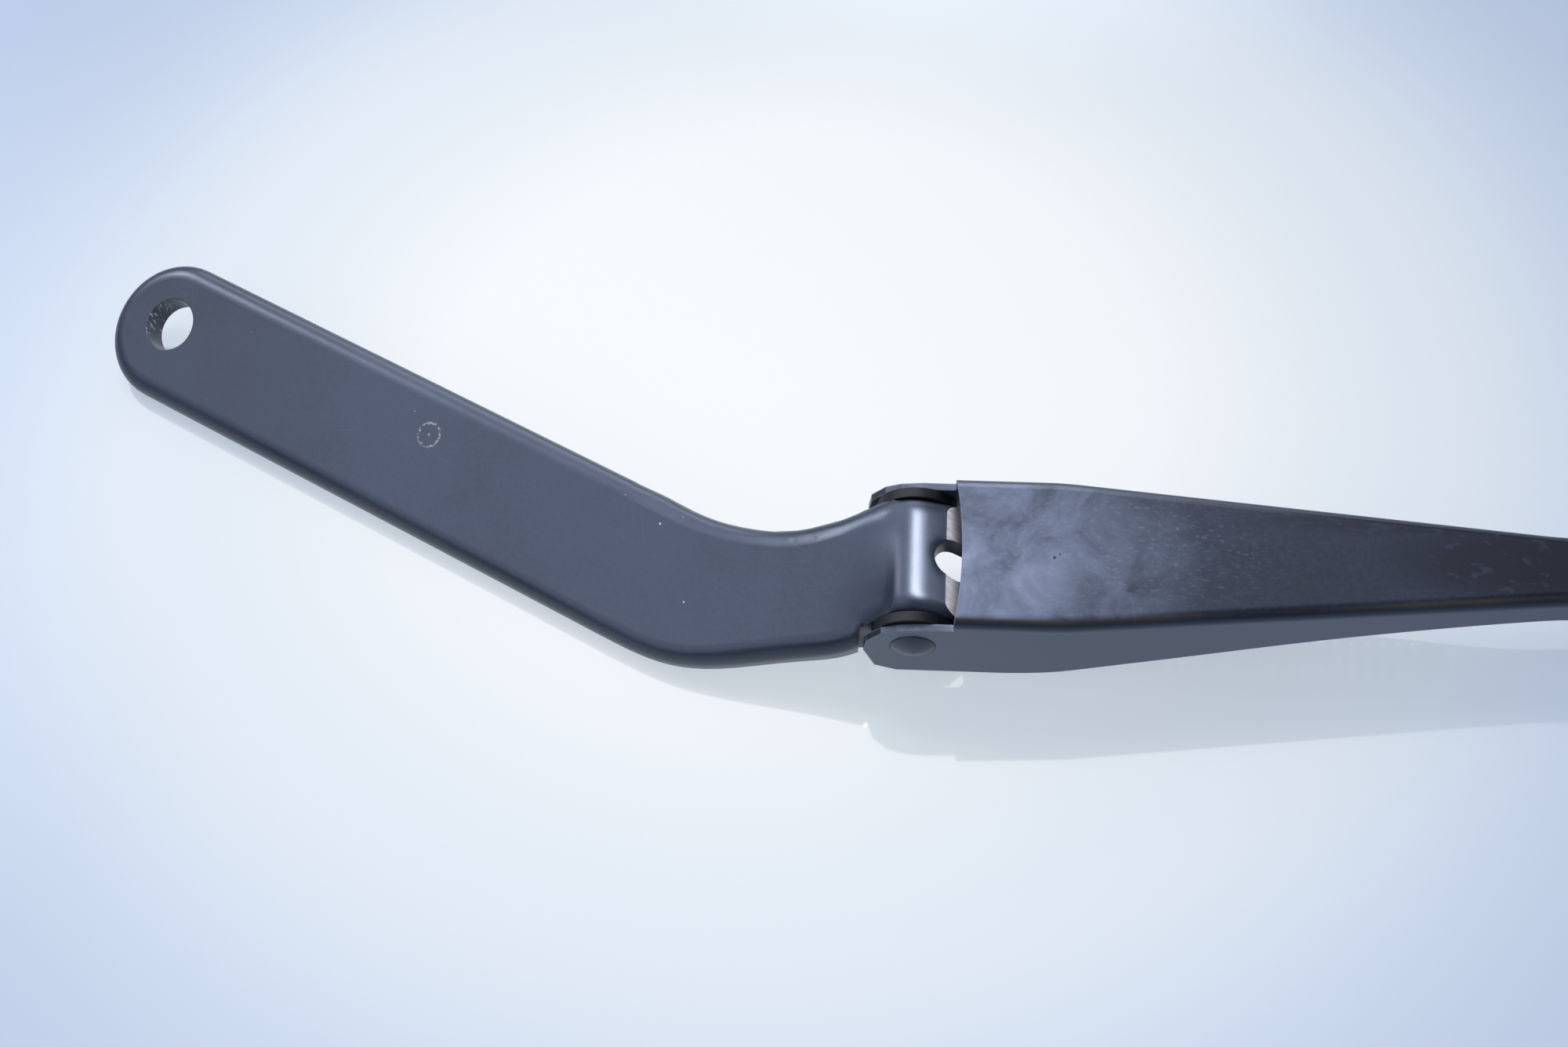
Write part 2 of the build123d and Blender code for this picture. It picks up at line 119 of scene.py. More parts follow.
def add_node(tree: Tree, kind: str, inputs: dict[Any, Any] | None = None, **settings: Any) -> bpy.types.Node:
    """Add one node with its settings, constants and links.

    Args:
        tree: The material's or the sky's node tree.
        kind: The node's type name.
        inputs: Input name or index, to a socket to link from or a constant to set.
        settings: Attributes of the node itself.

    Returns:
        The new node.
    """
    node = tree.nodes.new(kind)
    for name, value in settings.items():
        setattr(node, name, value)
    for key, value in (inputs or {}).items():
        if isinstance(value, bpy.types.NodeSocket):
            tree.links.new(value, node.inputs[key])
        else:
            node.inputs[key].default_value = value
    return node


def new_material(name: str) -> tuple[bpy.types.Material, Tree]:
    """Make an empty node material.

    Args:
        name: What the finish is.

    Returns:
        The material and its node tree.
    """
    made = bpy.data.materials.new(name)
    made.use_nodes = True
    made.node_tree.nodes.clear()
    return made, made.node_tree


def lay_over(tree: Tree, under: Socket | tuple, over: Socket | tuple, share: Socket | float) -> Socket:
    """Lay one colour over another.

    Args:
        tree: The material's node tree.
        under: The colour below.
        over: The colour on top.
        share: How much of the top colour shows.

    Returns:
        The mixed colour.
    """
    layers = {"Factor": share, MixInput.COLOUR_A: under, MixInput.COLOUR_B: over}
    return add_node(tree, "ShaderNodeMix", layers, data_type="RGBA").outputs[MixOutput.COLOUR]


def band(tree: Tree, value: Socket, start: float, end: float, low: float = 0.0, high: float = 1.0) -> Socket:
    """Turn a value into a share that rises from low at start to high at end, and stays there.

    Args:
        tree: The material's node tree.
        value: The value.
        start: Where the share is low.
        end: Where the share is high.
        low: The share at and before start.
        high: The share at and past end.

    Returns:
        The share.
    """
    limits = {"Value": value, "From Min": start, "From Max": end, "To Min": low, "To Max": high}
    return add_node(tree, "ShaderNodeMapRange", limits).outputs[0]


def product(tree: Tree, *shares: Socket) -> Socket:
    """Multiply shares.

    Args:
        tree: The material's node tree.
        shares: Two or more shares.

    Returns:
        Their product.
    """
    total = shares[0]
    for share in shares[1:]:
        total = add_node(tree, "ShaderNodeMath", {0: total, 1: share}, operation="MULTIPLY").outputs[0]
    return total


@dataclass(frozen=True)
class Pose:
    """How the arm lies: the hinge pin's place, the head's lean and the table under it."""

    pin: Triple = (140.699, -57.581, 21.447)
    pitch: float = 16.52
    roll: float = 14.35
    heading: float = -29.85
    table_normal: Triple = (-0.0429, 0.1786, 0.983)
    table_below_pin: float = 15.245

    def head_axes(self) -> tuple[Vector, Vector, Vector]:
        """Work out the axes of the head's top face.

        Returns:
            Unit vectors along the leg, across it and out of the face.
        """
        rise_along = math.tan(math.radians(self.pitch))
        rise_across = math.tan(math.radians(self.roll))
        turn = math.radians(self.heading)
        out = Vector((-rise_along, -rise_across, 1.0)).normalized()
        slope = rise_along * math.cos(turn) + rise_across * math.sin(turn)
        along = Vector((math.cos(turn), math.sin(turn), slope)).normalized()
        return along, out.cross(along), out

    def on_head(self, along: float, across: float, out: float = 0.0) -> Vector:
        """Place on the head, in metres, from millimetres along, across and out of its top face."""
        axes = self.head_axes()
        return (axes[0] * along + axes[1] * across + axes[2] * out) * MM

    def on_arm(self, along: float, across: float, up: float) -> Vector:
        """Place in metres, from millimetres measured from the hinge pin."""
        return (Vector(self.pin) + Vector((along, across, up))) * MM

    def table_frame(self) -> Matrix:
        """Work out how the table lies under the arm.

        Returns:
            The table's matrix, its own origin below the hinge pin.
        """
        normal = Vector(self.table_normal).normalized()
        across = normal.cross(Vector((1.0, 0.0, 0.0))).normalized()
        along = across.cross(normal)
        origin = (Vector(self.pin) - normal * self.table_below_pin) * MM
        turn = Matrix((along, across, normal)).transposed()
        return Matrix.Translation(origin) @ turn.to_4x4()


POSE = Pose()


@dataclass(frozen=True)
class Ground:
    """What the layers of a paint are laid on, at each place of the surface."""

    tree: Tree
    place: Socket
    millimetres: Socket
    normal: Socket
    facing: bpy.types.Node
    clouds: Socket
    grit: Socket

    def from_pin(self) -> bpy.types.Node:
        """Work out how far each place is from the hinge pin.

        Returns:
            A node with the distances along, across and up, in metres.
        """
        from_pin = {0: self.place, 1: POSE.on_arm(0.0, 0.0, 0.0)}
        offset = add_node(self.tree, "ShaderNodeVectorMath", from_pin, operation="SUBTRACT").outputs[0]
        return add_node(self.tree, "ShaderNodeSeparateXYZ", {0: offset})


@dataclass(frozen=True)
class Mark:
    """One mark on the paint, such as a speck, a smudge or a rubbed ring."""

    centre: Vector
    radius: float
    colour: str
    strength: float = 1.0
    ring_width: float = 0.0
    softness: float = 0.35
    broken: bool = False
    kept: Span = (0.46, 0.56)

    def lay(self, ground: Ground, under: Socket) -> Socket:
        """Lay the mark over a colour, its edge frayed by the grit.

        Args:
            ground: The surface.
            under: The colour so far.

        Returns:
            The colour with the mark on it.
        """
        tree = ground.tree
        between = {0: ground.place, 1: self.centre}
        reach = add_node(tree, "ShaderNodeVectorMath", between, operation="DISTANCE").outputs["Value"]
        fraying = {0: ground.grit, 1: self.radius * MM * self.softness, 2: reach}
        frayed = add_node(tree, "ShaderNodeMath", fraying, operation="MULTIPLY_ADD").outputs[0]
        limit = self.radius * MM
        if self.ring_width:
            offset = add_node(tree, "ShaderNodeMath", {0: frayed, 1: limit}, operation="SUBTRACT").outputs[0]
            frayed = add_node(tree, "ShaderNodeMath", {0: offset}, operation="ABSOLUTE").outputs[0]
            limit = self.ring_width * MM
        inside = band(tree, frayed, limit, limit * (1 - self.softness), high=self.strength)
        if self.broken:
            inside = product(tree, inside, band(tree, ground.grit, *self.kept))
        return lay_over(tree, under, linear(self.colour), inside)


@dataclass(frozen=True)
class Nick:
    """One straight scratch or worn line between two places."""

    start: Vector
    end: Vector
    width: float
    colour: str
    strength: float = 1.0
    kept: Span = (0.38, 0.5)
    least: float = 0.25

    def lay(self, ground: Ground, under: Socket) -> Socket:
        """Lay the scratch over a colour, its line broken by the grit.

        Args:
            ground: The surface.
            under: The colour so far.

        Returns:
            The colour with the scratch on it.
        """
        tree = ground.tree
        run = self.end - self.start
        from_start = {0: ground.place, 1: self.start}
        offset = add_node(tree, "ShaderNodeVectorMath", from_start, operation="SUBTRACT").outputs[0]
        along = {0: offset, 1: run / run.length_squared}
        share = add_node(tree, "ShaderNodeVectorMath", along, operation="DOT_PRODUCT").outputs["Value"]
        held = add_node(tree, "ShaderNodeClamp", {"Value": share}).outputs[0]
        foot = add_node(tree, "ShaderNodeVectorMath", {0: run, "Scale": held}, operation="SCALE").outputs[0]
        aside = {0: offset, 1: foot}
        reach = add_node(tree, "ShaderNodeVectorMath", aside, operation="DISTANCE").outputs["Value"]
        rim, core = self.width * MM / 2, self.width * MM / 5
        inside = band(tree, reach, rim, core, high=self.strength)
        broken = band(tree, ground.grit, *self.kept, low=self.least)
        return lay_over(tree, under, linear(self.colour), product(tree, inside, broken))


@dataclass(frozen=True)
class WearAndPaintedLightPatch:
    """A patch of flecks fading out from its middle. Most are worn, dusted or wet paint; one is painted shade,
    and one is partly a painted reflection.
    """

    centre: Vector
    reach: Triple
    colour: str
    strength: float
    fleck_mm: float
    cover: float
    roughness: float
    stretch: float = 1.0
    crisp: float = 0.03
    fade: Span = (1.0, 0.45)
    uncovered: float = 0.62
    covering: float = 0.24

    def share(self, ground: Ground) -> Socket:
        """Work out how much of the patch shows at a place.

        Args:
            ground: The surface.

        Returns:
            The share of the patch.
        """
        tree = ground.tree
        from_centre = {0: ground.place, 1: self.centre}
        offset = add_node(tree, "ShaderNodeVectorMath", from_centre, operation="SUBTRACT").outputs[0]
        shrunk = {0: offset, 1: scales(metres(self.reach))}
        scaled = add_node(tree, "ShaderNodeVectorMath", shrunk, operation="MULTIPLY").outputs[0]
        away = add_node(tree, "ShaderNodeVectorMath", {0: scaled}, operation="LENGTH").outputs["Value"]
        stretched = {0: offset, 1: scales((self.stretch, 1.0, 1.0))}
        drawn = add_node(tree, "ShaderNodeVectorMath", stretched, operation="MULTIPLY").outputs[0]
        flecks = add_node(tree, "ShaderNodeTexNoise", {
            "Vector": drawn, "Scale": 1 / (self.fleck_mm * MM), "Detail": 4.0, "Roughness": 0.6,
            "Distortion": 0.6}).outputs["Fac"]
        level = self.uncovered - self.covering * self.cover
        spotted = band(tree, flecks, level, level + self.crisp, high=self.strength)
        return product(tree, band(tree, away, *self.fade), spotted)


@dataclass(frozen=True)
class BrassyBend:
    """The thin brassy line of rubbed primer along the channel's near bend."""

    colour: str = "#6A6038"
    rise: Span = (-0.22, -0.45)
    fall: Span = (-0.80, -0.50)
    thinned: Span = (0.42, 0.6)
    least: float = 0.05
    most: float = 0.30

    def lay(self, ground: Ground, colour: Socket, roughness: Socket) -> tuple[Socket, Socket]:
        """Lay the line where the bend faces halfway down.

        Args:
            ground: The surface.
            colour: The colour so far.
            roughness: The roughness so far.

        Returns:
            The colour with the line on it, and the roughness as it was.
        """
        tree = ground.tree
        sideways = ground.facing.outputs["Y"]
        thinned = band(tree, ground.clouds, *self.thinned, low=self.least, high=self.most)
        line = product(tree, band(tree, sideways, *self.rise), band(tree, sideways, *self.fall), thinned)
        return lay_over(tree, colour, linear(self.colour), line), roughness


@dataclass(frozen=True)
class ScuffedBore:
    """The spindle bore's wall, darkened on one side by painted shade and scuffed to bare metal where it
    gripped the spindle.
    """

    wall: Span = (5.25, 5.05)
    # Painted shade inside the bore lies along this span, in the dark colour below
    shaded_inside: Span = (3.0, -3.0)
    scuffed: Span = (-3.4, -4.3)
    dark: str = "#17191E"
    bare: str = "#C9C4BE"
    strength: float = 0.6
    fleck_mm: Triple = (10 / 9, 5 / 13, 2.0)
    kept: Span = (0.56, 0.66)

    def lay(self, ground: Ground, colour: Socket, roughness: Socket) -> tuple[Socket, Socket]:
        """Lay the painted shade and the scuffs in the bore.

        Args:
            ground: The surface.
            colour: The colour so far.
            roughness: The roughness so far.

        Returns:
            The colour with the bore's wear, and the roughness as it was.
        """
        tree = ground.tree
        along, across, _ = POSE.head_axes()
        on_leg = {0: ground.place, 1: along}
        u = add_node(tree, "ShaderNodeVectorMath", on_leg, operation="DOT_PRODUCT").outputs["Value"]
        over_leg = {0: ground.place, 1: across}
        v = add_node(tree, "ShaderNodeVectorMath", over_leg, operation="DOT_PRODUCT").outputs["Value"]
        flat = add_node(tree, "ShaderNodeCombineXYZ", {0: u, 1: v}).outputs[0]
        radius = add_node(tree, "ShaderNodeVectorMath", {0: flat}, operation="LENGTH").outputs["Value"]
        wall = band(tree, radius, *metres(self.wall))

        # Painted shade: the wall darkened towards one side of the bore
        shade = product(tree, wall, band(tree, u, *metres(self.shaded_inside), high=self.strength))
        shaded_inside = lay_over(tree, colour, linear(self.dark), shade)

        scoring = {0: ground.millimetres, 1: scales(self.fleck_mm)}
        scored = add_node(tree, "ShaderNodeVectorMath", scoring, operation="MULTIPLY").outputs[0]
        noise = {"Vector": scored, "Scale": 1.0, "Detail": 3.0}
        flecks = add_node(tree, "ShaderNodeTexNoise", noise).outputs["Fac"]
        left = band(tree, u, *metres(self.scuffed))
        scuffs = product(tree, wall, left, band(tree, flecks, *self.kept, high=self.strength))
        return lay_over(tree, shaded_inside, linear(self.bare), scuffs), roughness


@dataclass(frozen=True)
class ShearedFront:
    """The sheared front face of the nose, bare steel with streaks that the shears left."""

    ahead: Span = (4.9, 5.15)
    facing: Span = (0.5, 0.62)
    dull: str = "#96949A"
    bright: str = "#B4B3B9"
    streak_mm: Triple = (10 / 3, 5 / 11, 10 / 3)
    streaked: Span = (0.35, 0.65)
    roughness: float = 0.5

    def lay(self, ground: Ground, colour: Socket, roughness: Socket) -> tuple[Socket, Socket]:
        """Bare the front face of the nose, which the paint has left.

        Args:
            ground: The surface.
            colour: The colour so far.
            roughness: The roughness so far.

        Returns:
            The colour and the roughness with the bare face.
        """
        tree = ground.tree
        ahead = band(tree, ground.from_pin().outputs["X"], *metres(self.ahead))
        bare = product(tree, ahead, band(tree, ground.facing.outputs["X"], *self.facing))
        brushing = {0: ground.millimetres, 1: scales(self.streak_mm)}
        brushed = add_node(tree, "ShaderNodeVectorMath", brushing, operation="MULTIPLY").outputs[0]
        noise = {"Vector": brushed, "Scale": 1.0, "Detail": 3.0}
        streaks = add_node(tree, "ShaderNodeTexNoise", noise).outputs["Fac"]
        steel = lay_over(tree, linear(self.dull), linear(self.bright), band(tree, streaks, *self.streaked))
        coarser = {"Factor": bare, MixInput.NUMBER_A: roughness, MixInput.NUMBER_B: self.roughness}
        coarse = add_node(tree, "ShaderNodeMix", coarser, data_type="FLOAT").outputs[MixOutput.NUMBER]
        return lay_over(tree, colour, steel, bare), coarse


@dataclass(frozen=True)
class PressedNose:
    """The soft rounding where the neck runs up into the nose, as a forming die leaves it."""

    radius: float = 2.6
    from_neck: Span = (-14.0, -8.0)
    to_front: Span = (5.0, 3.5)

    def soften(self, ground: Ground, rounded: Socket) -> Socket:
        """Round the nose's normal more than the other edges.

        Args:
            ground: The surface.
            rounded: The normal so far.

        Returns:
            The normal with the soft rounding.
        """
        tree = ground.tree
        ahead = ground.from_pin().outputs["X"]
        from_neck = band(tree, ahead, *metres(self.from_neck))
        share = product(tree, from_neck, band(tree, ahead, *metres(self.to_front)))
        soft = add_node(tree, "ShaderNodeBevel", {"Radius": self.radius * MM}, samples=8).outputs[0]
        blend = {"Factor": share, MixInput.VECTOR_A: rounded, MixInput.VECTOR_B: soft}
        return add_node(tree, "ShaderNodeMix", blend, data_type="VECTOR").outputs[MixOutput.VECTOR]


@dataclass(frozen=True)
class SatinBlackPaint:
    """Black stove enamel over pressed steel, sprayed and baked.

    Baking leaves a smooth satin face with a faint orange peel, so lamps show as soft bands.
    Years of wiping leave hairline scratches and a thin grey haze that hides the deep black.
    The scratches are drawn wider than they are, to show.
    """

    name: str
    deep: str = "#161B26"
    rubbed: str = "#222937"
    rubbed_clouds: Span = (0.36, 0.66)
    cloud_mm: float = 34.0
    haze: str = "#56617A"
    haze_amount: float = 0.10
    haze_facing: Span = (0.6, 1.0)
    haze_grit: Span = (0.42, 0.8)
    grit_mm: float = 0.8
    # Painted reflection of the bright table on the side walls, and the facing it keeps to
    painted_wall_reflection: float = 0.0
    painted_reflection_facing: Span = (0.40, 0.12)
    scratch_amount: float = 0.10
    scratch_mm: Triple = (26.0, 0.5, 4.0)
    scratch_lines: Span = (0.71, 0.77)
    speck: str = "#8B9099"
    speck_mm: float = 7.5
    speck_edge: Span = (0.024, 0.012)
    speck_amount: float = 0.5
    # Edges lightened by worn paint, and on the channel also by a painted highlight
    bare_edge_and_highlight: str = "#7A7F8A"
    edge_wear_and_highlight: float = 0.25
    edge_round: float = 0.35
    edge_turn: Span = (0.985, 0.88)
    edge_clouds: Span = (0.36, 0.6)
    edge_least: float = 0.3
    ior: float = 1.68
    sheen_tint: str = "#D6E3FF"
    roughness: float = 0.27
    rough_spread: float = 0.09
    peel_mm: float = 0.9
    peel_height: float = 0.1
    peel_strength: float = 0.025
    scratch_depth: float = 0.02
    scratch_strength: float = 0.12
    patches: tuple[WearAndPaintedLightPatch, ...] = ()
    patch_facing: Span = (0.88, 0.975)
    marks: tuple[Mark | Nick, ...] = ()
    wear: tuple[BrassyBend | ScuffedBore | ShearedFront, ...] = ()
    nose: PressedNose | None = None

    def material(self) -> bpy.types.Material:
        """Build the material.

        Returns:
            The node material of this paint.
        """
        made, tree = new_material(self.name)
        ground = self._ground(tree)
        rounded = add_node(tree, "ShaderNodeBevel", {"Radius": self.edge_round * MM}, samples=4).outputs[0]
        scratches = self._scratches(ground)
        colour = lay_over(tree, self._hazed(ground), linear(self.haze), scratches)
        colour = self._speckled(ground, colour)
        colour = self._edges_worn(ground, rounded, colour)
        dullest = self.roughness + self.rough_spread
        roughness = band(tree, ground.clouds, *NOISE_SPAN, low=self.roughness, high=dullest)
        colour, roughness = self._patched(ground, colour, roughness)
        for mark in self.marks:
            colour = mark.lay(ground, colour)
        for wear in self.wear:
            colour, roughness = wear.lay(ground, colour, roughness)
        if self.nose:
            rounded = self.nose.soften(ground, rounded)
        shader = add_node(tree, "ShaderNodeBsdfPrincipled", {
            "Base Color": colour, "Roughness": roughness, "IOR": self.ior,
            "Specular Tint": linear(self.sheen_tint), "Normal": self._relief(ground, scratches, rounded)})
        add_node(tree, "ShaderNodeOutputMaterial", {"Surface": shader.outputs[0]})
        return made

    def _ground(self, tree: Tree) -> Ground:
        """Find the place, the normal, the clouds and the grit at each place of the surface.

        Args:
            tree: The material's node tree.

        Returns:
            What the layers are laid on.
        """
        place = add_node(tree, "ShaderNodeTexCoord").outputs["Object"]
        enlarged = {0: place, "Scale": 1 / MM}
        millimetres = add_node(tree, "ShaderNodeVectorMath", enlarged, operation="SCALE").outputs[0]
        noise = {"Vector": millimetres, "Scale": 1 / self.cloud_mm, "Detail": 5.0, "Roughness": 0.55}
        clouds = add_node(tree, "ShaderNodeTexNoise", noise).outputs["Fac"]
        normal = add_node(tree, "ShaderNodeNewGeometry").outputs["Normal"]
        facing = add_node(tree, "ShaderNodeSeparateXYZ", {0: normal})
        noise = {"Vector": millimetres, "Scale": 1 / self.grit_mm, "Detail": 5.0, "Roughness": 0.65}
        grit = add_node(tree, "ShaderNodeTexNoise", noise).outputs["Fac"]
        return Ground(tree, place, millimetres, normal, facing, clouds, grit)

    def _hazed(self, ground: Ground) -> Socket:
        """Colour the paint in clouds of rubbed and untouched black, under a thin film of grey haze.

        The film lies where the surface faces up. The side walls get a further lightening in the haze colour,
        a painted reflection of the bright table.

        Args:
            ground: The surface.

        Returns:
            The colour.
        """
        tree = ground.tree
        rubbed = band(tree, ground.clouds, *self.rubbed_clouds)
        colour = lay_over(tree, linear(self.deep), linear(self.rubbed), rubbed)
        upward = ground.facing.outputs["Z"]
        gritty = band(tree, ground.grit, *self.haze_grit, high=self.haze_amount)
        film = product(tree, band(tree, upward, *self.haze_facing), gritty)
        colour = lay_over(tree, colour, linear(self.haze), film)
        # Painted reflection: side walls lightened as if mirroring the bright table
        if self.painted_wall_reflection:
            sideways = band(tree, upward, *self.painted_reflection_facing, high=self.painted_wall_reflection)
            colour = lay_over(tree, colour, linear(self.haze), sideways)
        return colour

    def _scratches(self, ground: Ground) -> Socket:
        """Draw hairline scratches, long thin bands of stretched noise in three directions.

        Args:
            ground: The surface.

        Returns:
            How much of a scratch shows.
        """
        tree = ground.tree
        found: Socket | None = None
        for way in Direction:
            turning = {"Vector": ground.millimetres, "Angle": math.radians(way.value)}
            turned = add_node(tree, "ShaderNodeVectorRotate", turning, rotation_type="Z_AXIS").outputs[0]
            stretched = {0: turned, 1: scales(self.scratch_mm)}
            drawn = add_node(tree, "ShaderNodeVectorMath", stretched, operation="MULTIPLY").outputs[0]
            noise = {"Vector": drawn, "Scale": 1.0, "Detail": 2.0}
            streaks = add_node(tree, "ShaderNodeTexNoise", noise).outputs["Fac"]
            lines = band(tree, streaks, *self.scratch_lines, high=self.scratch_amount)
            if found is None:
                found = lines
            else:
                found = add_node(tree, "ShaderNodeMath", {0: found, 1: lines}, operation="MAXIMUM").outputs[0]
        return found

    def _speckled(self, ground: Ground, colour: Socket) -> Socket:
        """Lay pale grit caught in the paint, far apart.

        Args:
            ground: The surface.
            colour: The colour so far.

        Returns:
            The colour with the specks on it.
        """
        spread = {"Vector": ground.millimetres, "Scale": 1 / self.speck_mm}
        away = add_node(ground.tree, "ShaderNodeTexVoronoi", spread).outputs["Distance"]
        specks = band(ground.tree, away, *self.speck_edge, high=self.speck_amount)
        return lay_over(ground.tree, colour, linear(self.speck), specks)

    def _edges_worn(self, ground: Ground, rounded: Socket, colour: Socket) -> Socket:
        """Lighten the edges, found where the rounded normal leaves the true one: worn paint, and on the
        channel also a painted highlight.

        Args:
            ground: The surface.
            rounded: The rounded normal.
            colour: The colour so far.

        Returns:
            The colour with the edges worn and lightened.
        """
        tree = ground.tree
        normals = {0: rounded, 1: ground.normal}
        agree = add_node(tree, "ShaderNodeVectorMath", normals, operation="DOT_PRODUCT").outputs["Value"]
        edge = band(tree, agree, *self.edge_turn, high=self.edge_wear_and_highlight)
        broken = product(tree, edge, band(tree, ground.clouds, *self.edge_clouds, low=self.edge_least))
        return lay_over(tree, colour, linear(self.bare_edge_and_highlight), broken)

    def _patched(self, ground: Ground, colour: Socket, roughness: Socket) -> tuple[Socket, Socket]:
        """Lay the patches where the surface faces up: worn, dusted and wet paint, painted shade and painted
        reflection.

        Args:
            ground: The surface.
            colour: The colour so far.
            roughness: The roughness so far.

        Returns:
            The colour and the roughness with the patches.
        """
        tree = ground.tree
        for patch in self.patches:
            upward = band(tree, ground.facing.outputs["Z"], *self.patch_facing)
            share = product(tree, patch.share(ground), upward)
            colour = lay_over(tree, colour, linear(patch.colour), share)
            blend = {"Factor": share, MixInput.NUMBER_A: roughness, MixInput.NUMBER_B: patch.roughness}
            roughness = add_node(tree, "ShaderNodeMix", blend, data_type="FLOAT").outputs[MixOutput.NUMBER]
        return colour, roughness

    def _relief(self, ground: Ground, scratches: Socket, rounded: Socket) -> Socket:
        """Raise the orange peel and sink the scratches.

        Args:
            ground: The surface.
            scratches: How much of a scratch shows.
            rounded: The normal with its edges rounded.

        Returns:
            The normal with the relief.
        """
        tree = ground.tree
        noise = {"Vector": ground.millimetres, "Scale": 1 / self.peel_mm, "Detail": 2.0}
        peel = add_node(tree, "ShaderNodeTexNoise", noise).outputs["Fac"]
        raised = add_node(tree, "ShaderNodeBump", {
            "Height": peel, "Strength": self.peel_strength, "Distance": self.peel_height * MM,
            "Normal": rounded}).outputs[0]
        return add_node(tree, "ShaderNodeBump", {
            "Height": scratches, "Strength": self.scratch_strength, "Distance": self.scratch_depth * MM,
            "Normal": raised}, invert=True).outputs[0]


@dataclass(frozen=True)
class BareSteel:
    """Plain steel, pressed or drawn, oiled and slightly tarnished.

    It shines dully, in patches of grey and brown. Its grain is drawn coarser than it is, to show.
    """

    name: str
    bright: str = "#9A9C9F"
    tarnished: str = "#5B5750"
    tarnish_mm: float = 5.0
    tarnish_edge: Span = (0.38, 0.66)
    roughness: float = 0.34
    rough_spread: float = 0.2
    grain_mm: float = 0.25
    grain_depth: float = 0.05
    grain_strength: float = 0.12

    def material(self) -> bpy.types.Material:
        """Build the material.

        Returns:
            The node material of this steel.
        """
        made, tree = new_material(self.name)
        place = add_node(tree, "ShaderNodeTexCoord").outputs["Object"]
        enlarged = {0: place, "Scale": 1 / MM}
        millimetres = add_node(tree, "ShaderNodeVectorMath", enlarged, operation="SCALE").outputs[0]
        patches = add_node(tree, "ShaderNodeTexNoise", {
            "Vector": millimetres, "Scale": 1 / self.tarnish_mm, "Detail": 5.0}).outputs["Fac"]
        dulled = band(tree, patches, *self.tarnish_edge)
        colour = lay_over(tree, linear(self.bright), linear(self.tarnished), dulled)
        dullest = self.roughness + self.rough_spread
        roughness = band(tree, patches, *NOISE_SPAN, low=self.roughness, high=dullest)
        grain = add_node(tree, "ShaderNodeTexNoise", {
            "Vector": millimetres, "Scale": 1 / self.grain_mm, "Detail": 2.0}).outputs["Fac"]
        relief = {"Height": grain, "Strength": self.grain_strength, "Distance": self.grain_depth * MM}
        bump = add_node(tree, "ShaderNodeBump", relief).outputs[0]
        shader = add_node(tree, "ShaderNodeBsdfPrincipled", {
            "Base Color": colour, "Metallic": 1.0, "Roughness": roughness, "Normal": bump})
        add_node(tree, "ShaderNodeOutputMaterial", {"Surface": shader.outputs[0]})
        return made


@dataclass(frozen=True)
class BlackNylon:
    """Black moulded nylon of the hinge washers, whose rounded rim catches a thin arc of light."""

    name: str = "washer_nylon"
    colour: str = "#0A0C11"
    polished: str = "#141821"
    mottle_mm: float = 1.5
    mottle_edge: Span = (0.4, 0.65)
    roughness: float = 0.42
    rough_spread: float = 0.15
    rim_round: float = 0.3
    ior: float = 1.45

    def material(self) -> bpy.types.Material:
        """Build the material.

        Returns:
            The node material of the nylon.
        """
        made, tree = new_material(self.name)
        place = add_node(tree, "ShaderNodeTexCoord").outputs["Object"]
        noise = {"Vector": place, "Scale": 1 / (self.mottle_mm * MM), "Detail": 4.0}
        mottle = add_node(tree, "ShaderNodeTexNoise", noise).outputs["Fac"]
        shiny = band(tree, mottle, *self.mottle_edge)
        colour = lay_over(tree, linear(self.colour), linear(self.polished), shiny)
        dullest = self.roughness + self.rough_spread
        roughness = band(tree, mottle, *NOISE_SPAN, low=self.roughness, high=dullest)
        rounded = add_node(tree, "ShaderNodeBevel", {"Radius": self.rim_round * MM}, samples=4).outputs[0]
        shader = add_node(tree, "ShaderNodeBsdfPrincipled", {
            "Base Color": colour, "Roughness": roughness, "IOR": self.ior, "Normal": rounded})
        add_node(tree, "ShaderNodeOutputMaterial", {"Surface": shader.outputs[0]})
        return made


